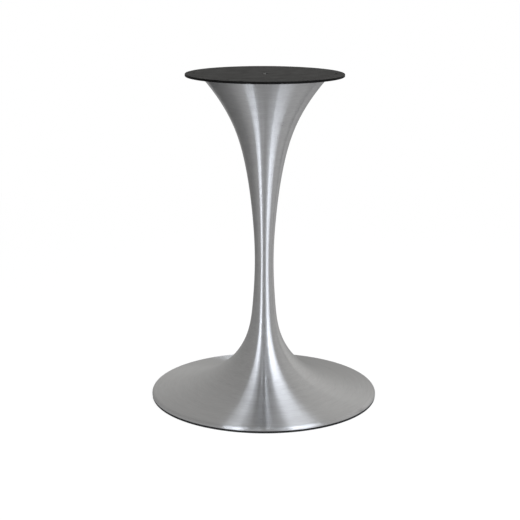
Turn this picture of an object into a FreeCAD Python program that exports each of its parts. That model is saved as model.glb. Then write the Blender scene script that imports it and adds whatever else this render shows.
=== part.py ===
import FreeCAD, Part
import math
import os

# Tulip table base: a spun trumpet shell over a steel column, which one long rod clamps
# between a cast foot and the plate that the table top is screwed to.
# The origin is on the floor under the middle of the foot, and +Z is up. Millimetres and degrees.

# Whole base
HEIGHT = 715.0              # floor to the top of the plate
FOOT_DIAMETER = 500.0       # across the foot of the trumpet
WAIST_DIAMETER = 41.4       # across the narrowest place of the stem
WAIST_HEIGHT = 307.5        # floor to that place
MOUTH_DIAMETER = 265.0      # across the mouth under the plate

# Trumpet shell, spun from aluminium sheet
SHELL_WALL = 2.0
RIM_SLOPE = 5.5             # fall of the foot where it runs into the lip
LIP_INSIDE_RADIUS = 5.0     # bend that turns the foot down to the floor
LIP_EDGE = 1.0              # straight edge below that bend
MOUTH_LEAN = 40.0           # lean of the flare at the mouth, from the vertical
HEM_INSIDE_RADIUS = 1.0     # bend that turns the mouth in under the plate
HEM_WIDTH = 15.0            # reach of the turned-in edge
# Stations of the foot's curve, as parts of the way out and down from the waist to the rim
FOOT_STATIONS = ((0.718, 0.967), (0.419, 0.880), (0.199, 0.741), (0.075, 0.572), (0.018, 0.315))
# Stations of the flare's curve, as parts of the way out and up from the waist to the mouth
FLARE_STATIONS = ((0.048, 0.253), (0.172, 0.505), (0.391, 0.727), (0.700, 0.889))

# Top plate, cut from steel
PLATE_DIAMETER = 340.0
PLATE_THICKNESS = 5.0
PLATE_CHAMFER = 0.6
SCREW_HOLES = 6
SCREW_HOLE_DIAMETER = 5.5

# Column tube and the boss that centres it on the plate
COLUMN_CLEARANCE = 1.2      # between the tube and the waist of the shell
COLUMN_WALL = 3.0
COLUMN_CHAMFER = 0.8
BOSS_CLEARANCE = 0.2        # between the boss and the bore of the tube
BOSS_LENGTH = 22.0
BOSS_CHAMFER = 1.5

# Tie rod, its nut and its washers
ROD_DIAMETER = 10.0
ROD_CHAMFER = 1.2
ROD_DEPTH = 0.5             # rod's upper end below the top of the plate
ROD_HOLE_CLEARANCE = 0.5    # around the rod where it passes freely
THREAD_CLEARANCE = 0.1      # around the rod where it is screwed in
ROD_PROJECTION = 3.0        # rod's lower end beyond the nut
NUT_ACROSS_FLATS = 16.0
NUT_HEIGHT = 8.4
NUT_CHAMFER_ANGLE = 30.0
WASHER_DIAMETER = 30.0
WASHER_THICKNESS = 2.5
LOCK_WIDTH = 4.0            # width of the lock washer's ring
LOCK_THICKNESS = 2.2
LOCK_SLIT = 1.5
LOCK_SLIT_ANGLE = 20.0      # slant of the slit, from the vertical

# Ballast foot, cast in iron
BALLAST_INSET = 30.0        # its edge inside the edge of the trumpet's foot
BALLAST_CLEARANCE = 0.8     # its edge below the underside of the trumpet's rim
BALLAST_SLOPE = 3.0         # rise of its top towards the hub
BALLAST_CHAMFER = 1.5
HUB_WALL = 11.0             # iron around the foot of the column
HUB_FILLET = 14.0
SOCKET_CLEARANCE = 0.2      # between the tube and its socket
SOCKET_DEPTH = 15.0
WEB_THICKNESS = 10.0        # iron between the socket and the nut's recess
RECESS_CLEARANCE = 3.0      # around the washer
RECESS_MARGIN = 1.0         # rod's lower end inside the recess

# Floor ring, moulded in rubber
RING_HEIGHT = 5.0           # floor to the edge of the trumpet
RING_SETBACK = 0.5          # its side inside the edge of the trumpet
RING_RIB = 3.0              # rib that keeps trumpet and ballast in place, above the ring
RING_CLEARANCE = 0.2        # between that rib and what it keeps in place
RING_LEDGE = 12.0           # width that carries the ballast
RING_CHAMFER = 0.6

AXIS = FreeCAD.Vector(0, 0, 1)
CENTRE = FreeCAD.Vector(0, 0, 0)

foot_radius = FOOT_DIAMETER / 2
waist_radius = WAIST_DIAMETER / 2
mouth_radius = MOUTH_DIAMETER / 2
plate_radius = PLATE_DIAMETER / 2
plate_underside = HEIGHT - PLATE_THICKNESS
column_radius = waist_radius - SHELL_WALL - COLUMN_CLEARANCE
column_bore = column_radius - COLUMN_WALL
rod_radius = ROD_DIAMETER / 2
rod_hole = rod_radius + ROD_HOLE_CLEARANCE
rod_thread = rod_radius + THREAD_CLEARANCE
ballast_radius = foot_radius - BALLAST_INSET

# Levels from the floor up through the foot, as the rod stacks it
rod_bottom = RING_HEIGHT + RECESS_MARGIN
nut_bottom = rod_bottom + ROD_PROJECTION
lock_bottom = nut_bottom + NUT_HEIGHT
washer_bottom = lock_bottom + LOCK_THICKNESS
recess_top = washer_bottom + WASHER_THICKNESS
socket_floor = recess_top + WEB_THICKNESS
hub_top = socket_floor + SOCKET_DEPTH


def point(radius, height):
    return FreeCAD.Vector(radius, 0, height)


def turned(corners):
    """Solid of revolution from the corners (radius, height) of half its section."""
    points = [point(radius, height) for radius, height in corners]
    section = Part.Face(Part.makePolygon(points + points[:1]))
    return section.revolve(CENTRE, AXIS, 360)


def turned_tube(outer, inner, bottom, top, chamfer):
    """Tube on the axis, with both outer edges chamfered."""
    return turned((
        (inner, bottom),
        (outer - chamfer, bottom),
        (outer, bottom + chamfer),
        (outer, top - chamfer),
        (outer - chamfer, top),
        (inner, top),
    ))


def arc_about(centre, radius, start, end):
    """Arc in the section's plane; angles are measured from outwards to upwards."""
    def at(angle):
        turn = math.radians(angle)
        return centre + point(radius * math.cos(turn), radius * math.sin(turn))
    return Part.Arc(at(start), at((start + end) / 2), at(end))


def trumpet_curve(rim, mouth):
    """Sweeping outline of the trumpet, from the rim of the foot past the waist to the mouth."""
    waist = point(waist_radius, WAIST_HEIGHT)
    points = [rim]
    for out, down in FOOT_STATIONS:
        points.append(point(waist.x + out * (rim.x - waist.x), waist.z + down * (rim.z - waist.z)))
    points.append(waist)
    for out, up in FLARE_STATIONS:
        points.append(point(waist.x + out * (mouth.x - waist.x), waist.z + up * (mouth.z - waist.z)))
    points.append(mouth)
    slope = math.radians(RIM_SLOPE)
    lean = math.radians(MOUTH_LEAN)
    curve = Part.BSplineCurve()
    curve.interpolate(
        Points=points,
        InitialTangent=point(-math.cos(slope), math.sin(slope)),
        FinalTangent=point(math.sin(lean), math.cos(lean)),
        Scale=False,
    )
    return curve


def moved_inwards(curve, depth):
    """Curve of the trumpet's inner face, one wall below the given outer curve."""
    stations = curve.getKnots()
    between = [(low + high) / 2 for low, high in zip(stations, stations[1:])]
    points = []
    for station in sorted(stations + between):
        along = curve.tangent(station)[0]
        points.append(curve.value(station) + point(-along.z, along.x) * depth)
    moved = Part.BSplineCurve()
    moved.interpolate(
        Points=points,
        InitialTangent=curve.tangent(stations[0])[0],
        FinalTangent=curve.tangent(stations[-1])[0],
        Scale=False,
    )
    return moved


def trumpet_face(depth):
    """Outline of the trumpet's outer face, or of the face that lies a depth below it."""
    lip_radius = LIP_INSIDE_RADIUS + SHELL_WALL
    lip_centre = point(foot_radius - lip_radius, RING_HEIGHT + LIP_EDGE)
    hem_radius = HEM_INSIDE_RADIUS + SHELL_WALL
    hem_centre = point(mouth_radius - hem_radius, plate_underside - hem_radius)
    outer_lip = arc_about(lip_centre, lip_radius, 0, 90 - RIM_SLOPE)
    outer_hem = arc_about(hem_centre, hem_radius, -MOUTH_LEAN, 90)
    lip = arc_about(lip_centre, lip_radius - depth, 0, 90 - RIM_SLOPE)
    hem = arc_about(hem_centre, hem_radius - depth, -MOUTH_LEAN, 90)
    curve = trumpet_curve(outer_lip.EndPoint, outer_hem.StartPoint)
    if depth > 0:
        curve = moved_inwards(curve, depth)
    edge = Part.LineSegment(point(foot_radius - depth, RING_HEIGHT), lip.StartPoint)
    flange = Part.LineSegment(hem.EndPoint, point(mouth_radius - HEM_WIDTH, plate_underside - depth))
    return edge, lip, curve, hem, flange


def trumpet_shell():
    """Spun shell in one piece: lip, foot, stem, flare and the hem under the plate, all of one wall."""
    outer = trumpet_face(0)
    inner = trumpet_face(SHELL_WALL)
    lip_end = Part.LineSegment(inner[0].StartPoint, outer[0].StartPoint)
    hem_end = Part.LineSegment(outer[-1].EndPoint, inner[-1].EndPoint)
    edges = [piece.toShape() for piece in (lip_end, *outer, hem_end, *inner)]
    section = Part.Face(Part.Wire(Part.__sortEdges__(edges)))
    return section.revolve(CENTRE, AXIS, 360)


def top_plate():
    """Round plate with a hole for the rod and a ring of screw holes outside the mouth."""
    plate = turned((
        (rod_hole, plate_underside),
        (plate_radius - PLATE_CHAMFER, plate_underside),
        (plate_radius, plate_underside + PLATE_CHAMFER),
        (plate_radius, HEIGHT - PLATE_CHAMFER),
        (plate_radius - PLATE_CHAMFER, HEIGHT),
        (rod_hole, HEIGHT),
    ))
    hole_circle = (mouth_radius + plate_radius) / 2
    for step in range(SCREW_HOLES):
        turn = 2 * math.pi * step / SCREW_HOLES
        place = FreeCAD.Vector(hole_circle * math.cos(turn), hole_circle * math.sin(turn), plate_underside)
        plate = plate.cut(Part.makeCylinder(SCREW_HOLE_DIAMETER / 2, PLATE_THICKNESS, place, AXIS))
    return plate


def centre_boss():
    """Tapped boss welded under the plate, which the rod screws into and the tube slides over."""
    radius = column_bore - BOSS_CLEARANCE
    bottom = plate_underside - BOSS_LENGTH
    return turned((
        (rod_thread, bottom),
        (radius - BOSS_CHAMFER, bottom),
        (radius, bottom + BOSS_CHAMFER),
        (radius, plate_underside),
        (rod_thread, plate_underside),
    ))


def column_tube():
    """Steel tube that carries the plate on the cast foot."""
    return turned_tube(column_radius, column_bore, socket_floor, plate_underside, COLUMN_CHAMFER)


def tie_rod():
    """Threaded rod from the nut's recess up to the middle of the plate."""
    return turned_tube(rod_radius, 0, rod_bottom, HEIGHT - ROD_DEPTH, ROD_CHAMFER)


def tie_washer():
    """Wide washer against the top of the recess."""
    return turned((
        (rod_hole, washer_bottom),
        (WASHER_DIAMETER / 2, washer_bottom),
        (WASHER_DIAMETER / 2, recess_top),
        (rod_hole, recess_top),
    ))


def lock_washer():
    """Split ring, pressed flat between washer and nut."""
    outer = rod_hole + LOCK_WIDTH
    ring = turned((
        (rod_hole, lock_bottom),
        (outer, lock_bottom),
        (outer, washer_bottom),
        (rod_hole, washer_bottom),
    ))
    middle = point(rod_hole + LOCK_WIDTH / 2, lock_bottom + LOCK_THICKNESS / 2)
    slit = Part.makeBox(2 * LOCK_WIDTH, LOCK_SLIT, 4 * LOCK_THICKNESS)
    slit.translate(middle - slit.BoundBox.Center)
    slit.rotate(middle, FreeCAD.Vector(1, 0, 0), LOCK_SLIT_ANGLE)
    return ring.cut(slit)


def tie_nut():
    """Hexagon nut with the corners of both faces turned off."""
    corner = NUT_ACROSS_FLATS / math.sqrt(3)
    flat = NUT_ACROSS_FLATS / 2
    bevel = (corner - flat) * math.tan(math.radians(NUT_CHAMFER_ANGLE))
    corners = []
    for step in range(6):
        turn = math.radians(60 * step)
        corners.append(FreeCAD.Vector(corner * math.cos(turn), corner * math.sin(turn), nut_bottom))
    hexagon = Part.Face(Part.makePolygon(corners + corners[:1])).extrude(AXIS * NUT_HEIGHT)
    blank = turned((
        (rod_thread, nut_bottom),
        (flat, nut_bottom),
        (corner, nut_bottom + bevel),
        (corner, lock_bottom - bevel),
        (flat, lock_bottom),
        (rod_thread, lock_bottom),
    ))
    return hexagon.common(blank)


def ballast_foot():
    """Cast disc that rises to a hub, with the column's socket above and the nut's recess below."""
    rim_top = RING_HEIGHT + LIP_EDGE + LIP_INSIDE_RADIUS - BALLAST_CLEARANCE
    socket = column_radius + SOCKET_CLEARANCE
    hub = socket + HUB_WALL
    recess = WASHER_DIAMETER / 2 + RECESS_CLEARANCE
    hub_root = rim_top + (ballast_radius - hub) * math.tan(math.radians(BALLAST_SLOPE))
    body = turned((
        (recess, RING_HEIGHT),
        (ballast_radius, RING_HEIGHT),
        (ballast_radius, rim_top - BALLAST_CHAMFER),
        (ballast_radius - BALLAST_CHAMFER, rim_top),
        (hub, hub_root),
        (hub, hub_top - BALLAST_CHAMFER),
        (hub - BALLAST_CHAMFER, hub_top),
        (socket, hub_top),
        (socket, socket_floor),
        (rod_hole, socket_floor),
        (rod_hole, recess_top),
        (recess, recess_top),
    ))
    root_edges = [edge for edge in body.Edges
                  if abs(edge.BoundBox.ZMax - hub_root) < 0.01 and edge.BoundBox.ZLength < 0.01]
    return body.makeFillet(HUB_FILLET, root_edges)


def floor_ring():
    """Rubber ring that the trumpet and the ballast stand on, with a rib between the two."""
    outer = foot_radius - RING_SETBACK
    rib_outer = foot_radius - SHELL_WALL - RING_CLEARANCE
    rib_inner = ballast_radius + RING_CLEARANCE
    rib_bevel = RING_RIB - LIP_EDGE
    rib_top = RING_HEIGHT + RING_RIB
    inner = ballast_radius - RING_LEDGE
    return turned((
        (inner, 0),
        (outer - RING_CHAMFER, 0),
        (outer, RING_CHAMFER),
        (outer, RING_HEIGHT),
        (rib_outer, RING_HEIGHT),
        (rib_outer, RING_HEIGHT + LIP_EDGE),
        (rib_outer - rib_bevel, rib_top),
        (rib_inner, rib_top),
        (rib_inner, RING_HEIGHT),
        (inner, RING_HEIGHT),
    ))


PIECES = (
    floor_ring,
    ballast_foot,
    column_tube,
    tie_rod,
    tie_washer,
    lock_washer,
    tie_nut,
    trumpet_shell,
    centre_boss,
    top_plate,
)

os.makedirs("parts", exist_ok=True)
for piece in PIECES:
    solid = piece()
    solid.exportStep(os.path.join("parts", piece.__name__ + ".step"))
    print(piece.__name__, solid.ShapeType, solid.isValid(), round(solid.Volume))
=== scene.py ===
import bpy
import math
import numpy as np
from mathutils import Matrix, Vector


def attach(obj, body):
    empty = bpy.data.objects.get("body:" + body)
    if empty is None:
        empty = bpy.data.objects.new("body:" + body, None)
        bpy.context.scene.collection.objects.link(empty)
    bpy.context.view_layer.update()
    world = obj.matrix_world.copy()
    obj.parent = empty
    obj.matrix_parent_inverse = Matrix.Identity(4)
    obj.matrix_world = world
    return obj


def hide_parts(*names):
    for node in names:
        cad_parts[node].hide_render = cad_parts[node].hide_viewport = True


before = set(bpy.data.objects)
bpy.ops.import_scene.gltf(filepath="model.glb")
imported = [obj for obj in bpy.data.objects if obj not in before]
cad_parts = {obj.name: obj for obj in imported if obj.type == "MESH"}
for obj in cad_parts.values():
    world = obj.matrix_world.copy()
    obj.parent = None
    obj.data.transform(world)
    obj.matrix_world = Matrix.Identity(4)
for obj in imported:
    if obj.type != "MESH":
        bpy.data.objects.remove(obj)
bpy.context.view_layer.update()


# Floor ring: a ring of black rubber, moulded in one piece, that the whole base stands on.
# It lies loose, and its rib is held between the edge of the trumpet and the cast foot.
# Grooves pressed into its underside grip the floor.
MM = 0.001
SHARP_ANGLE = math.radians(28)
RING_INNER = 208
RING_OUTER = 249.5
RING_TOP = 5
RING_EDGE = 0.6
RING_EDGE_CUT = 0.18
RING_ROUNDS = 192
RIB = ((247.8, RING_TOP), (247.8, 6), (245.8, 8), (220.2, 8), (220.2, RING_TOP))
GROOVES = 5
GROOVE_WIDTH = 3
GROOVE_FLANK = 0.4
GROOVE_DEPTH = 1.2
BLOOM_SIZE = 18
GRAIN_SIZE = 0.9
PORE_DEPTH = 0.2


def linear(code):
    """Linear colour, with alpha, of an sRGB hex value."""
    parts = [int(code[place:place + 2], 16) / 255 for place in (1, 3, 5)]
    return [part / 12.92 if part <= 0.04045 else ((part + 0.055) / 1.055) ** 2.4 for part in parts] + [1]


def add(tree, kind, settings, links):
    """New shader node; settings are its properties and input values, links its inputs' sources."""
    node = tree.nodes.new("ShaderNode" + kind)
    for name, value in settings.items():
        if hasattr(node, str(name)):
            setattr(node, name, value)
    for name, value in settings.items():
        if not hasattr(node, str(name)):
            node.inputs[name].default_value = value
    for name, source in links.items():
        tree.links.new(source, node.inputs[name])
    return node


def surface(name, constants):
    """New material with the values that are the same all over it: its node tree and its shader."""
    material = bpy.data.materials.new(name)
    material.use_nodes = True
    tree = material.node_tree
    tree.nodes.clear()
    shader = add(tree, "BsdfPrincipled", constants, {})
    add(tree, "OutputMaterial", {}, {"Surface": shader.outputs["BSDF"]})
    return material, tree, shader


def piece(name, corners, faces, material):
    """New piece of the base from a mesh in millimetres, with smooth faces and sharp edges."""
    mesh = bpy.data.meshes.new(name)
    mesh.from_pydata([[value * MM for value in corner] for corner in corners], [], faces)
    mesh.materials.append(material)
    mesh.shade_smooth()
    mesh.set_sharp_from_angle(angle=SHARP_ANGLE)
    made = bpy.data.objects.new(name, mesh)
    bpy.context.scene.collection.objects.link(made)
    return made


def turned(name, section, rounds, material):
    """Ring-shaped piece, turned about the axis from its closed section of (radius, height)."""
    corners = []
    for step in range(rounds):
        turn = 2 * math.pi * step / rounds
        x = math.cos(turn)
        y = math.sin(turn)
        corners += [(radius * x, radius * y, height) for radius, height in section]
    size = len(section)
    faces = []
    for step in range(rounds):
        here = step * size
        there = (step + 1) % rounds * size
        for low in range(size):
            high = (low + 1) % size
            faces.append((here + low, there + low, there + high, here + high))
    return piece(name, corners, faces, material)


# Natural rubber, moulded with carbon black and left as it came from the mould: nearly black,
# without gloss, with a pale dusty bloom in patches and a fine grain.
rubber, tree, shader = surface("moulded_black_rubber", {"IOR": 1.52, "Specular IOR Level": 0.2})
place = add(tree, "TexCoord", {}, {}).outputs["Object"]
bloom = add(tree, "TexNoise", {"Scale": 1 / (BLOOM_SIZE * MM), "Detail": 3}, {"Vector": place}).outputs["Fac"]
grain = add(tree, "TexNoise", {"Scale": 1 / (GRAIN_SIZE * MM), "Detail": 2}, {"Vector": place}).outputs["Fac"]
dust = add(tree, "Mix", {"data_type": "RGBA", 6: linear("#0d0d0e"), 7: linear("#19191a")}, {0: bloom})
tree.links.new(dust.outputs[2], shader.inputs["Base Color"])
matt = add(tree, "MapRange", {"To Min": 0.74, "To Max": 0.9}, {"Value": bloom})
tree.links.new(matt.outputs["Result"], shader.inputs["Roughness"])
pores = add(tree, "Bump", {"Strength": 0.35, "Distance": PORE_DEPTH * MM}, {"Height": grain})
tree.links.new(pores.outputs["Normal"], shader.inputs["Normal"])

section = [(RING_INNER, RING_TOP), (RING_INNER, RING_EDGE), (RING_INNER + RING_EDGE, 0)]
spacing = (RING_OUTER - RING_INNER) / (GROOVES + 1)
half = GROOVE_WIDTH / 2
for groove in range(GROOVES):
    middle = RING_INNER + spacing * (groove + 1)
    section += [(middle - half, 0), (middle - half + GROOVE_FLANK, GROOVE_DEPTH)]
    section += [(middle + half - GROOVE_FLANK, GROOVE_DEPTH), (middle + half, 0)]
section += [(RING_OUTER - RING_EDGE, 0), (RING_OUTER - RING_EDGE_CUT, RING_EDGE_CUT)]
section += [(RING_OUTER, RING_EDGE), (RING_OUTER, RING_TOP), *RIB]
floor_ring = turned("floor_ring_moulded", section[::-1], RING_ROUNDS, rubber)
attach(floor_ring, "root")
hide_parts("floor_ring")


# Ballast foot: a heavy disc of grey iron, cast in sand, that keeps the table from tipping.
# It lies on the floor ring inside the trumpet, and its hub takes the foot of the column.
SAND_SIZE = 1.6
SAND_DEPTH = 0.35
FLOW_SIZE = 35

# Sand-cast iron under one coat of black primer: a dull charcoal skin that shows the sand's grain,
# with the iron's brown coming through where the coat is thin.
primed_iron, tree, shader = surface("sand_cast_iron_primed_black", {"IOR": 1.5, "Specular IOR Level": 0.4})
place = add(tree, "TexCoord", {}, {}).outputs["Object"]
sand = add(tree, "TexNoise", {"Scale": 1 / (SAND_SIZE * MM), "Detail": 4}, {"Vector": place}).outputs["Fac"]
flow = add(tree, "TexNoise", {"Scale": 1 / (FLOW_SIZE * MM), "Detail": 5}, {"Vector": place}).outputs["Fac"]
coat = add(tree, "Mix", {"data_type": "RGBA", 6: linear("#1e1f20"), 7: linear("#33312f")}, {0: flow})
thin = add(tree, "MapRange", {"From Min": 0.62, "From Max": 0.78, "To Max": 0.5}, {"Value": sand})
worn = add(
    tree,
    "Mix",
    {"data_type": "RGBA", 7: linear("#4b3d33")},
    {0: thin.outputs["Result"], 6: coat.outputs[2]},
)
tree.links.new(worn.outputs[2], shader.inputs["Base Color"])
dull = add(tree, "MapRange", {"To Min": 0.58, "To Max": 0.82}, {"Value": flow})
tree.links.new(dull.outputs["Result"], shader.inputs["Roughness"])
skin = add(tree, "Bump", {"Strength": 0.6, "Distance": SAND_DEPTH * MM}, {"Height": sand})
tree.links.new(skin.outputs["Normal"], shader.inputs["Normal"])

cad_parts["ballast_foot"].material_slots[0].material = primed_iron


# Column tube: a welded steel tube that carries the plate on the cast foot. It stands in the hub's
# socket and is hidden by the trumpet.
LINE_WIDTH = 0.8
LINE_DEPTH = 0.05
LINE_STRETCH = 0.02
FILM_SIZE = 25

# Drawn mild steel, left as it came from the mill: mid grey with fine lines along the tube and a
# bluish film of oil.
drawn_steel, tree, shader = surface("drawn_mild_steel", {"Metallic": 1.0})
place = add(tree, "TexCoord", {}, {}).outputs["Object"]
along = add(tree, "Mapping", {"Scale": (1, 1, LINE_STRETCH)}, {"Vector": place}).outputs["Vector"]
lines = add(tree, "TexNoise", {"Scale": 1 / (LINE_WIDTH * MM), "Detail": 3}, {"Vector": along}).outputs["Fac"]
film = add(tree, "TexNoise", {"Scale": 1 / (FILM_SIZE * MM), "Detail": 3}, {"Vector": place}).outputs["Fac"]
oil = add(tree, "Mix", {"data_type": "RGBA", 6: linear("#8e8d8b"), 7: linear("#7d8288")}, {0: film})
tree.links.new(oil.outputs[2], shader.inputs["Base Color"])
drawn = add(tree, "MapRange", {"To Min": 0.34, "To Max": 0.52}, {"Value": lines})
tree.links.new(drawn.outputs["Result"], shader.inputs["Roughness"])
scores = add(tree, "Bump", {"Strength": 0.2, "Distance": LINE_DEPTH * MM}, {"Height": lines})
tree.links.new(scores.outputs["Normal"], shader.inputs["Normal"])

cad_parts["column_tube"].material_slots[0].material = drawn_steel


# Trumpet shell: lip, foot, stem, flare and hem in one skin, spun from aluminium sheet over a former.
# It stands on the floor ring and reaches up round the column to the plate, which holds it down.
WALL = 2
LIP_CENTRE = (243, 6)
LIP_RADIUS = 7
RIM_SLOPE = math.radians(5.5)
WAIST = (20.7, 307.5)
HEM_CENTRE = (129.5, 707)
HEM_RADIUS = 3
MOUTH_LEAN = math.radians(40)
HEM_END = 117.5
# Stations of the curve, as shares of the way from the waist out and down to the rim, and out and up
# to the mouth.
FOOT_STATIONS = ((0.718, 0.967), (0.419, 0.880), (0.199, 0.741), (0.075, 0.572), (0.018, 0.315))
FLARE_STATIONS = ((0.048, 0.253), (0.172, 0.505), (0.391, 0.727), (0.700, 0.889))
OUTER_STEP = 7
INNER_STEP = 14
ARC_POINTS = 12
SHELL_ROUNDS = 256

# Aluminium, brushed round the axis on the spinning lathe and clear anodised: a satin grey whose
# highlights run from lip to mouth in bands, because the fine scratches lie across them. The clean
# floors of the scratches give the bands a crisp edge, and their torn burrs a softer sheen round it.
CRISP_SHARE = 0.65
CRISP_STRETCH = 0.82
# The softer share's shader stretches its gloss along the scratches, and a quarter turn puts it across.
QUARTER_TURN = 0.25
# Seen at a low angle, the burrs shade one another and hide the floors of the scratches, so that both
# shares are duller there.
LOW_ANGLE_TINT = "#cbcbcb"
LOW_ANGLE_GREY = "#7c7c7c"
LOW_ANGLE_POWER = 4
# The scratches are about 0.1 mm wide and are drawn 1.6 mm wide, so that they show. Passes of the
# brush overlap in bands of about a centimetre.
SCRATCH_WIDTH = 1.6
SCRATCH_DEPTH = 0.05
PASS_WIDTH = 11
PASS_WEIGHT = 0.5
MARKS_RANGE = {"From Min": 0.45, "From Max": 1.05}
# In the pattern, the way round the axis is a circle of this radius in metres, whatever the radius of
# the shell is there. A small one makes the scratches long.
TURN_RADIUS = 0.012

brushed, tree, shader = surface(
    "aluminium_brushed_round_the_axis",
    {
        "Metallic": 1.0,
        "Anisotropic": 1.0,
        "Anisotropic Rotation": QUARTER_TURN,
        "Specular Tint": linear(LOW_ANGLE_TINT),
    },
)
place = add(tree, "TexCoord", {}, {}).outputs["Object"]
flat = add(tree, "VectorMath", {"operation": "MULTIPLY", 1: (1, 1, 0)}, {0: place}).outputs["Vector"]
reach = add(tree, "VectorMath", {"operation": "LENGTH"}, {0: flat}).outputs["Value"]
facing = add(tree, "VectorMath", {"operation": "NORMALIZE"}, {0: flat}).outputs["Vector"]
turn = add(tree, "VectorMath", {"operation": "SCALE", "Scale": TURN_RADIUS}, {0: facing}).outputs["Vector"]
height = add(tree, "SeparateXYZ", {}, {"Vector": place}).outputs["Z"]
heading = add(tree, "SeparateXYZ", {}, {"Vector": turn})
ringed = add(tree, "CombineXYZ", {}, {"X": reach, "Y": height, "Z": heading.outputs["X"]}).outputs["Vector"]
scratches = add(
    tree,
    "TexNoise",
    {"noise_dimensions": "4D", "Scale": 1 / (SCRATCH_WIDTH * MM), "Detail": 3, "Roughness": 0.6},
    {"Vector": ringed, "W": heading.outputs["Y"]},
).outputs["Fac"]
passes = add(
    tree,
    "TexNoise",
    {"noise_dimensions": "4D", "Scale": 1 / (PASS_WIDTH * MM), "Detail": 3, "Roughness": 0.65},
    {"Vector": ringed, "W": heading.outputs["Y"]},
).outputs["Fac"]
marks = add(
    tree,
    "Math",
    {"operation": "MULTIPLY_ADD", 1: PASS_WEIGHT},
    {0: passes, 2: scratches},
).outputs["Value"]
shade = add(tree, "MapRange", MARKS_RANGE, {"Value": marks})
satin = add(
    tree,
    "Mix",
    {"data_type": "RGBA", 6: linear("#979798"), 7: linear("#acacad")},
    {0: shade.outputs["Result"]},
)
tree.links.new(satin.outputs[2], shader.inputs["Base Color"])
burrs = add(tree, "MapRange", {**MARKS_RANGE, "To Min": 0.36, "To Max": 0.48}, {"Value": marks})
tree.links.new(burrs.outputs["Result"], shader.inputs["Roughness"])
grooves = add(tree, "Bump", {"Strength": 0.1, "Distance": SCRATCH_DEPTH * MM}, {"Height": scratches})
tree.links.new(grooves.outputs["Normal"], shader.inputs["Normal"])
round_axis = add(tree, "Tangent", {"direction_type": "RADIAL", "axis": "Z"}, {}).outputs["Tangent"]
tree.links.new(round_axis, shader.inputs["Tangent"])
turned_away = add(tree, "LayerWeight", {"Blend": 0.5}, {}).outputs["Facing"]
grazing = add(tree, "Math", {"operation": "POWER", 1: LOW_ANGLE_POWER}, {0: turned_away}).outputs["Value"]
hidden = add(
    tree,
    "Mix",
    {"data_type": "RGBA", 7: linear(LOW_ANGLE_GREY)},
    {0: grazing, 6: satin.outputs[2]},
)
floors = add(tree, "MapRange", {**MARKS_RANGE, "To Min": 0.27, "To Max": 0.33}, {"Value": marks})
crisp = add(
    tree,
    "BsdfAnisotropic",
    {"Anisotropy": CRISP_STRETCH},
    {"Color": hidden.outputs[2], "Roughness": floors.outputs["Result"], "Tangent": round_axis},
)
both = add(tree, "MixShader", {0: CRISP_SHARE}, {1: shader.outputs["BSDF"], 2: crisp.outputs["BSDF"]})
tree.links.new(both.outputs["Shader"], tree.nodes["Material Output"].inputs["Surface"])


def on_arc(centre, radius, start, end):
    """Points on an arc of the section; angles run from outwards to upwards."""
    turns = np.linspace(start, end, ARC_POINTS)
    return np.stack([centre[0] + radius * np.cos(turns), centre[1] + radius * np.sin(turns)], axis=1)


def sweep_line(stations, start, end, step):
    """Points and directions on the smooth line through the stations, with set directions at its ends."""
    stations = np.array(stations)
    spans = np.hypot(*np.diff(stations, axis=0).T)[:, None]
    chords = np.diff(stations, axis=0) / spans
    known = np.zeros_like(stations)
    known[0] = start
    known[-1] = end
    system = np.eye(len(stations))
    for at in range(1, len(stations) - 1):
        before = spans[at - 1, 0]
        after = spans[at, 0]
        system[at, at - 1:at + 2] = after, 2 * (before + after), before
        known[at] = 3 * (after * chords[at - 1] + before * chords[at])
    pulls = np.linalg.solve(system, known)
    points = []
    directions = []
    for at in range(len(spans)):
        span = spans[at, 0]
        share = np.arange(0, 1, 1 / math.ceil(span / step))[:, None]
        bend_in = pulls[at] - chords[at]
        bend_out = pulls[at + 1] - chords[at]
        rest = 1 - share
        points.append(
            stations[at] * rest + stations[at + 1] * share
            + span * share * rest * (bend_in * rest - bend_out * share)
        )
        directions.append(
            chords[at] + bend_in * rest * (1 - 3 * share) + bend_out * share * (3 * share - 2)
        )
    points = np.concatenate([*points, stations[-1:]])
    directions = np.concatenate([*directions, pulls[-1:]])
    return points, directions / np.hypot(*directions.T)[:, None]


def shell_face(depth, step):
    """Section of the shell's outer face, or of the face a depth below it, from lip to hem."""
    rim = on_arc(LIP_CENTRE, LIP_RADIUS, 0, math.pi / 2 - RIM_SLOPE)[-1]
    mouth = on_arc(HEM_CENTRE, HEM_RADIUS, -MOUTH_LEAN, math.pi / 2)[0]
    waist = np.array(WAIST)
    stations = [rim, *(waist + (rim - waist) * share for share in FOOT_STATIONS), waist]
    stations += [*(waist + (mouth - waist) * share for share in FLARE_STATIONS), mouth]
    start = (-math.cos(RIM_SLOPE), math.sin(RIM_SLOPE))
    end = (math.sin(MOUTH_LEAN), math.cos(MOUTH_LEAN))
    points, directions = sweep_line(stations, start, end, step)
    sweep = points + depth * np.stack([-directions[:, 1], directions[:, 0]], axis=1)
    lip = on_arc(LIP_CENTRE, LIP_RADIUS - depth, 0, math.pi / 2 - RIM_SLOPE)
    hem = on_arc(HEM_CENTRE, HEM_RADIUS - depth, -MOUTH_LEAN, math.pi / 2)
    lip_end = [(LIP_CENTRE[0] + LIP_RADIUS - depth, RING_TOP)]
    hem_end = [(HEM_END, HEM_CENTRE[1] + HEM_RADIUS - depth)]
    return np.concatenate([lip_end, lip, sweep[1:-1], hem, hem_end])


section = np.concatenate([shell_face(0, OUTER_STEP), shell_face(WALL, INNER_STEP)[::-1]])
trumpet = turned("trumpet_shell_spun", section.tolist(), SHELL_ROUNDS, brushed)
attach(trumpet, "root")
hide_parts("trumpet_shell")


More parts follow.
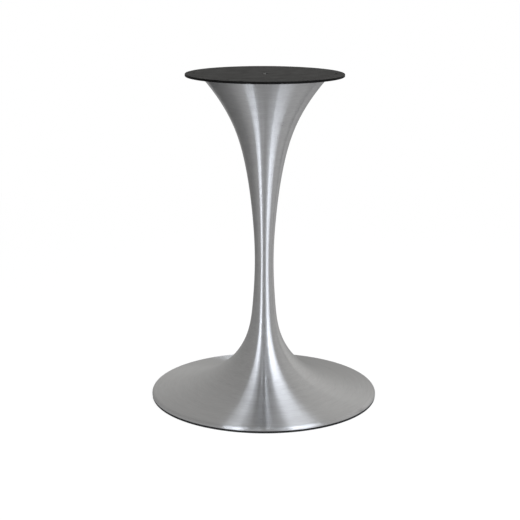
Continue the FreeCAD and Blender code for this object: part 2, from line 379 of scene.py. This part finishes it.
# Top plate and centre boss: a disc cut from 5 mm steel, which the table top is screwed to, and a
# turned boss welded under its middle, which the tube slides over and the rod screws into.
# Pebbles of its powder coat are about 1 mm across and are drawn 2 mm across, so that they show.
PEBBLE_SIZE = 2
PEBBLE_DEPTH = 0.15
BUILD_UP_SIZE = 30

# Black polyester powder, sprayed and baked: a dense satin black with a fine pebbled skin, which
# turns grey where it is seen at a low angle.
powder, tree, shader = surface("black_powder_coat_baked", {"IOR": 1.5, "Specular IOR Level": 0.055})
place = add(tree, "TexCoord", {}, {}).outputs["Object"]
pebbles = add(
    tree,
    "TexNoise",
    {"Scale": 1 / (PEBBLE_SIZE * MM), "Detail": 2},
    {"Vector": place},
).outputs["Fac"]
build_up = add(
    tree,
    "TexNoise",
    {"Scale": 1 / (BUILD_UP_SIZE * MM), "Detail": 3},
    {"Vector": place},
).outputs["Fac"]
black = add(tree, "Mix", {"data_type": "RGBA", 6: linear("#020202"), 7: linear("#0a0908")}, {0: build_up})
tree.links.new(black.outputs[2], shader.inputs["Base Color"])
baked = add(tree, "MapRange", {"To Min": 0.55, "To Max": 0.75}, {"Value": build_up})
tree.links.new(baked.outputs["Result"], shader.inputs["Roughness"])
peel = add(tree, "Bump", {"Strength": 0.8, "Distance": PEBBLE_DEPTH * MM}, {"Height": pebbles})
tree.links.new(peel.outputs["Normal"], shader.inputs["Normal"])

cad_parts["top_plate"].material_slots[0].material = powder
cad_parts["centre_boss"].material_slots[0].material = drawn_steel


# Tie rod, washers and nut: a long rod with a thread cut at each end, from the boss down through the
# tube to a recess under the cast foot, where the nut pulls the whole base together.
ROD_RADIUS = 5
ROD_BOTTOM = 6
ROD_TOP = 714.5
ROD_CHAMFER = 1.2
THREAD_LENGTH = 45
THREAD_PITCH = 1.5
THREAD_DEPTH = 0.9
# Shares of the pitch from the middle of the thread's groove to the foot and the top of its flank.
FLANK_FOOT = 0.125
FLANK_TOP = 0.375
ROD_ROUNDS = 40
PITCH_ROWS = 8
CLOUD_SIZE = 6
SPECK_SIZE = 0.4
SPECK_DEPTH = 0.05

# Steel with bright zinc plating: a silvery, slightly milky metal with a bluish passivated film.
zinc, tree, shader = surface("bright_zinc_plated_steel", {"Metallic": 1.0})
place = add(tree, "TexCoord", {}, {}).outputs["Object"]
cloud = add(tree, "TexNoise", {"Scale": 1 / (CLOUD_SIZE * MM), "Detail": 4}, {"Vector": place}).outputs["Fac"]
speck = add(tree, "TexNoise", {"Scale": 1 / (SPECK_SIZE * MM), "Detail": 2}, {"Vector": place}).outputs["Fac"]
passive = add(tree, "Mix", {"data_type": "RGBA", 6: linear("#c9c8c0"), 7: linear("#b4bcc6")}, {0: cloud})
tree.links.new(passive.outputs[2], shader.inputs["Base Color"])
milky = add(tree, "MapRange", {"To Min": 0.26, "To Max": 0.46}, {"Value": cloud})
tree.links.new(milky.outputs["Result"], shader.inputs["Roughness"])
frost = add(tree, "Bump", {"Strength": 0.15, "Distance": SPECK_DEPTH * MM}, {"Height": speck})
tree.links.new(frost.outputs["Normal"], shader.inputs["Normal"])


def rod_radius(height, share):
    """Radius of the rod at a height and a share of a turn, with its chamfers and its threads."""
    from_end = min(height - ROD_BOTTOM, ROD_TOP - height)
    blank = min(ROD_RADIUS, ROD_RADIUS - ROD_CHAMFER + from_end)
    run_out = min(1, max(0, (THREAD_LENGTH - from_end) / THREAD_PITCH))
    from_middle = abs((height / THREAD_PITCH - share) % 1 - 0.5)
    groove = min(1, max(0, (FLANK_TOP - from_middle) / (FLANK_TOP - FLANK_FOOT)))
    return min(blank, ROD_RADIUS - THREAD_DEPTH * groove * run_out)


rows = round(THREAD_LENGTH / THREAD_PITCH * PITCH_ROWS)
lower = np.linspace(ROD_BOTTOM, ROD_BOTTOM + THREAD_LENGTH, rows + 1)
upper = np.linspace(ROD_TOP - THREAD_LENGTH, ROD_TOP, rows + 1)
heights = np.concatenate([lower, upper]).tolist()
corners = []
for level in heights:
    for step in range(ROD_ROUNDS):
        share = step / ROD_ROUNDS
        turn = 2 * math.pi * share
        radius = rod_radius(level, share)
        corners.append((radius * math.cos(turn), radius * math.sin(turn), level))
faces = []
for row in range(len(heights) - 1):
    for step in range(ROD_ROUNDS):
        here = row * ROD_ROUNDS + step
        beside = row * ROD_ROUNDS + (step + 1) % ROD_ROUNDS
        faces.append((here, beside, beside + ROD_ROUNDS, here + ROD_ROUNDS))
last_row = (len(heights) - 1) * ROD_ROUNDS
faces.append(tuple(range(ROD_ROUNDS))[::-1])
faces.append(tuple(range(last_row, last_row + ROD_ROUNDS)))
tie_rod = piece("tie_rod_threaded", corners, faces, zinc)
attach(tie_rod, "root")
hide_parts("tie_rod")
for fastener in ("tie_washer", "lock_washer", "tie_nut"):
    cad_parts[fastener].material_slots[0].material = zinc


# Studio floor: a wide sweep of white paper that the base stands on. It lies a hair below the ring,
# so that no two faces share one plane. All sizes from here on are in metres.
FLOOR_REACH = 60
FLOOR_DROP = 0.0003
FLOOR_CORNERS = ((-1, -1), (1, -1), (1, 1), (-1, 1))
# The paper's own glow is this share of its light up to the near distance from the base, and rises to
# all of it at the far one.
FLOOR_GLOW = 0.9
GLOW_NEAR = 0.6
GLOW_FAR = 2.5

# White paper, matt and even. It shines by itself only for what looks at it, so that it is white in
# the picture and in the metal and still takes the base's shadow. From below it is clear.
paper, tree, shader = surface("white_paper_sweep", {"Roughness": 0.9, "Specular IOR Level": 0.1})
shader.inputs["Base Color"].default_value = linear("#f8f8f8")
ray = add(tree, "LightPath", {}, {})
seen = add(
    tree,
    "Math",
    {"operation": "MAXIMUM"},
    {0: ray.outputs["Is Camera Ray"], 1: ray.outputs["Is Glossy Ray"]},
)
shown = add(
    tree,
    "Math",
    {"operation": "MAXIMUM"},
    {0: seen.outputs["Value"], 1: ray.outputs["Is Transmission Ray"]},
)
place = add(tree, "TexCoord", {}, {}).outputs["Object"]
away = add(tree, "VectorMath", {"operation": "LENGTH"}, {0: place}).outputs["Value"]
rising = add(
    tree,
    "MapRange",
    {"From Min": GLOW_NEAR, "From Max": GLOW_FAR, "To Min": FLOOR_GLOW, "To Max": 1.0},
    {"Value": away},
)
part_lit = add(
    tree,
    "Math",
    {"operation": "MULTIPLY"},
    {0: shown.outputs["Value"], 1: rising.outputs["Result"]},
)
glow = add(tree, "Emission", {"Color": (1, 1, 1, 1), "Strength": 1.0}, {})
blend = add(
    tree,
    "MixShader",
    {},
    {0: part_lit.outputs["Value"], 1: shader.outputs["BSDF"], 2: glow.outputs["Emission"]},
)
clear = add(tree, "BsdfTransparent", {}, {})
below = add(tree, "NewGeometry", {}, {}).outputs["Backfacing"]
one_sided = add(
    tree,
    "MixShader",
    {},
    {0: below, 1: blend.outputs["Shader"], 2: clear.outputs["BSDF"]},
)
tree.links.new(one_sided.outputs["Shader"], tree.nodes["Material Output"].inputs["Surface"])


def sheet(name, corners, material):
    """Flat sheet of the studio."""
    mesh = bpy.data.meshes.new(name)
    mesh.from_pydata(corners, [], [(0, 1, 2, 3)])
    mesh.materials.append(material)
    made = bpy.data.objects.new(name, mesh)
    bpy.context.scene.collection.objects.link(made)
    return made


sheet("studio_floor", [(x * FLOOR_REACH, y * FLOOR_REACH, -FLOOR_DROP) for x, y in FLOOR_CORNERS], paper)


# Felt boards: one laid on the floor at the left and one stood up at the right, both outside the
# picture. The metal mirrors them as its darker left side and as the thin dark line at its right.
BOARD_LIFT = 0.002
# Left, right, front and back edge of the board on the floor.
FLOOR_BOARD = (-2.6, -0.62, -0.6, 1.6)
FLAG_DISTANCE = 0.95
FLAG_BEARINGS = (100.5, 105.5)
FLAG_HEIGHT = 1.5

# Wool felt on card: a dull mid grey without any gloss.
felt, tree, shader = surface("grey_wool_felt", {"Roughness": 1.0, "Specular IOR Level": 0.0})
shader.inputs["Base Color"].default_value = linear("#5a5a5a")


def on_floor(bearing, distance):
    """Place on the floor; bearings run in degrees from the front to the right."""
    swing = math.radians(bearing)
    return distance * math.sin(swing), -distance * math.cos(swing)


left, right, front, back = FLOOR_BOARD
laid = [(x, y, BOARD_LIFT) for x, y in ((left, front), (right, front), (right, back), (left, back))]
near, far = [on_floor(bearing, FLAG_DISTANCE) for bearing in FLAG_BEARINGS]
stood = [(*near, BOARD_LIFT), (*far, BOARD_LIFT), (*far, FLAG_HEIGHT), (*near, FLAG_HEIGHT)]
for name, corners in (("felt_board", laid), ("felt_flag", stood)):
    board = sheet(name, corners, felt)
    board.visible_camera = False
    board.visible_diffuse = False
    board.visible_shadow = False


# Lamps: softboxes and strips that stand round the front of the base, and one strip on a boom over
# its foot, all with the same cool white light. They give the bands of light in the brushed metal.
LAMP_COLOUR = "#f0f6ff"
SOFTBOX_DISTANCE = 2.3
# Each reaches from one bearing to another, in degrees, and from its bottom to its top. It fades from
# the brightness at the first bearing to that at the other.
SOFTBOXES = (
    ("softbox_left_low", -39, -21, 0.02, 0.9, 2.1, 10.5),
    ("softbox_left", -39, -15, 0.9, 1.8, 7.9, 2.5),
    ("softbox_left_top", -33, -15, 1.8, 2.8, 5.8, 3.7),
    ("strip_front_left", -9, -3, 1.8, 2.8, 5.7, 5.7),
    ("strip_front_right", 9, 15, 1.8, 2.8, 4.6, 4.6),
    ("strip_inner", 15, 27, 0.02, 2.8, 1.5, 1.5),
    ("softbox_right", 27, 63, 0.02, 1.8, 6.1, 0.0),
    ("softbox_right_top", 27, 63, 1.8, 3.6, 8.8, 9.3),
)
BOOM_PLACE = (0.15, -0.75, 2.6)
BOOM_SIZE = (0.08, 1.0)
BOOM_BRIGHTNESS = 10.2


def hang_lamp(name, size, first, last, place, aim):
    """Flat lamp that fades from one brightness to another, turned from facing straight down."""
    lamp = bpy.data.lights.new(name, "AREA")
    lamp.shape = "RECTANGLE"
    lamp.size, lamp.size_y = size
    lamp.energy = math.pi * lamp.size * lamp.size_y
    lamp.color = linear(LAMP_COLOUR)[:3]
    lamp.use_nodes = True
    tree = lamp.node_tree
    tree.nodes.clear()
    across = add(tree, "NewGeometry", {}, {}).outputs["Parametric"]
    share = add(tree, "SeparateXYZ", {}, {"Vector": across}).outputs["X"]
    fading = add(tree, "MapRange", {"To Min": first, "To Max": last}, {"Value": share})
    light = add(tree, "Emission", {}, {"Strength": fading.outputs["Result"]})
    add(tree, "OutputLight", {}, {"Surface": light.outputs["Emission"]})
    made = bpy.data.objects.new(name, lamp)
    made.location = place
    made.rotation_euler = aim
    made.visible_camera = False
    bpy.context.scene.collection.objects.link(made)


for name, start, end, bottom, top, first, last in SOFTBOXES:
    size = (2 * SOFTBOX_DISTANCE * math.tan(math.radians((end - start) / 2)), top - bottom)
    bearing = (start + end) / 2
    place = (*on_floor(bearing, SOFTBOX_DISTANCE), (top + bottom) / 2)
    hang_lamp(name, size, first, last, place, (math.pi / 2, 0, math.radians(bearing)))
hang_lamp("strip_above", BOOM_SIZE, BOOM_BRIGHTNESS, BOOM_BRIGHTNESS, BOOM_PLACE, (0, 0, 0))


# Room: plain pale walls and ceiling, which throw the lamps' light back softly from overhead, from
# behind and from both sides. Each glow fades with the angle from its middle.
ROOM_LEVEL = 0.28
ROOM_FADE = 2
ROOM_GLOWS = (
    ((0, 0.3, 1), 0.37),
    ((0, 1, 0.1), 0.40),
    ((1, 1, 0.2), 0.73),
    ((1, -0.14, 0.1), 0.60),
    ((-1, -0.7, 0), 0.54),
    ((-1, 1, 0.2), 0.20),
)

room = bpy.data.worlds.new("studio_room")
room.use_nodes = True
tree = room.node_tree
tree.nodes.clear()
looking = add(tree, "TexCoord", {}, {}).outputs["Generated"]
so_far = {}
for heading, strength in ROOM_GLOWS:
    towards = {"operation": "DOT_PRODUCT", 1: Vector(heading).normalized()}
    facing = add(tree, "VectorMath", towards, {0: looking}).outputs["Value"]
    ahead = add(tree, "Math", {"operation": "MAXIMUM", 1: 0}, {0: facing}).outputs["Value"]
    fading = add(tree, "Math", {"operation": "POWER", 1: ROOM_FADE}, {0: ahead}).outputs["Value"]
    # The first glow is added to the room's level, and each later one to the sum so far.
    settings = {"operation": "MULTIPLY_ADD", 1: strength, 2: ROOM_LEVEL}
    so_far[2] = add(tree, "Math", settings, {0: fading, **so_far}).outputs["Value"]
air = add(tree, "Background", {"Color": linear("#fffefb")}, {"Strength": so_far[2]})
add(tree, "OutputWorld", {}, {"Surface": air.outputs["Background"]})
bpy.context.scene.world = room


# Camera: on a tripod 2.7 m in front of the base and about 1 m up, looking slightly down, as the
# photograph was taken. Its lens is given in pixels of the square picture.
CAMERA_PLACE = (0, -2.7256, 0.9836)
CAMERA_DOWN = math.radians(13.934)
CAMERA_TURN = math.radians(0.193)
CAMERA_ROLL = math.radians(0.168)
SENSOR_WIDTH = 36
FRAME_WIDTH = 520
FOCAL_PIXELS = 1278.2
FARTHEST = 200

lens = bpy.data.cameras.new("studio_camera")
lens.sensor_width = SENSOR_WIDTH
lens.sensor_fit = "HORIZONTAL"
lens.lens = SENSOR_WIDTH * FOCAL_PIXELS / FRAME_WIDTH
lens.clip_end = FARTHEST
camera = bpy.data.objects.new("studio_camera", lens)
aim = Matrix.Rotation(CAMERA_TURN, 4, "Z") @ Matrix.Rotation(math.pi / 2 - CAMERA_DOWN, 4, "X")
camera.matrix_world = Matrix.Translation(CAMERA_PLACE) @ aim @ Matrix.Rotation(CAMERA_ROLL, 4, "Z")
bpy.context.scene.collection.objects.link(camera)
bpy.context.scene.camera = camera
bpy.context.scene.view_settings.view_transform = "Standard"
